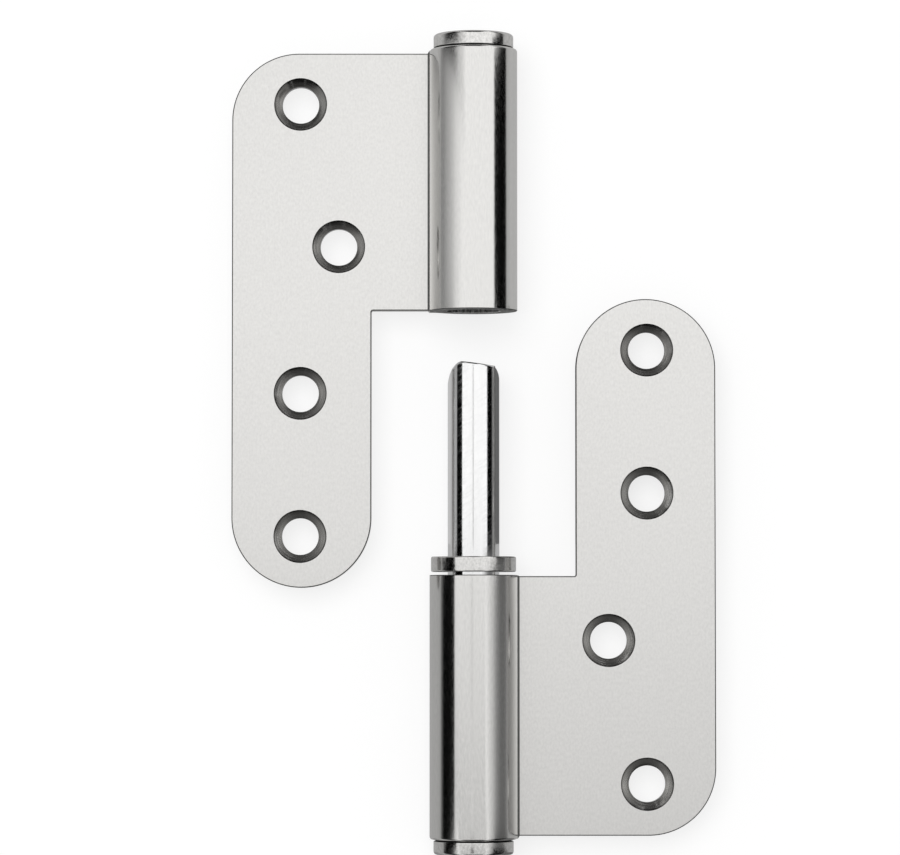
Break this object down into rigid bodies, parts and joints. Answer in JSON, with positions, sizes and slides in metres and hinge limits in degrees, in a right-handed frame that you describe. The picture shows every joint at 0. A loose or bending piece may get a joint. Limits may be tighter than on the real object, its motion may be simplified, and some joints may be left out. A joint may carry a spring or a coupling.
{
  "type": "lift off hinge",
  "caption": "Steel lift off hinge, opened flat, with its door half lifted clear of the fixed pin and bearing washer.",
  "frame": {"origin": "under the pin's axis, at the middle of the hinge's length, level with the backs of the knuckles", "axes": "+X across the leaves towards the frame leaf, +Y up the pin, +Z out of the countersunk faces"},
  "size_m": [0.0922, 0.156, 0.0167],
  "materials": {
    "brushed_steel": "brushed",
    "bright_steel": "polished",
    "turned_steel": "satin"
  },
  "bodies": {
    "frame_half": {"frame_leaf": "brushed_steel", "hinge_pin": "bright_steel", "frame_cap": "turned_steel"},
    "washer": {"bearing_washer": "turned_steel"},
    "door_half": {"door_leaf": "brushed_steel", "door_cap": "turned_steel"}
  },
  "joints": [
    {"name": "swing", "type": "hinge", "parent": "frame_half", "child": "washer", "pos_m": [0, -0.0251, 0.00835], "axis": [0, 1, 0], "range_deg": [0, 180]},
    {"name": "lift_off", "type": "slide", "parent": "washer", "child": "door_half", "axis": [0, 1, 0], "range_m": [-0.0466, 0]}
  ]
}
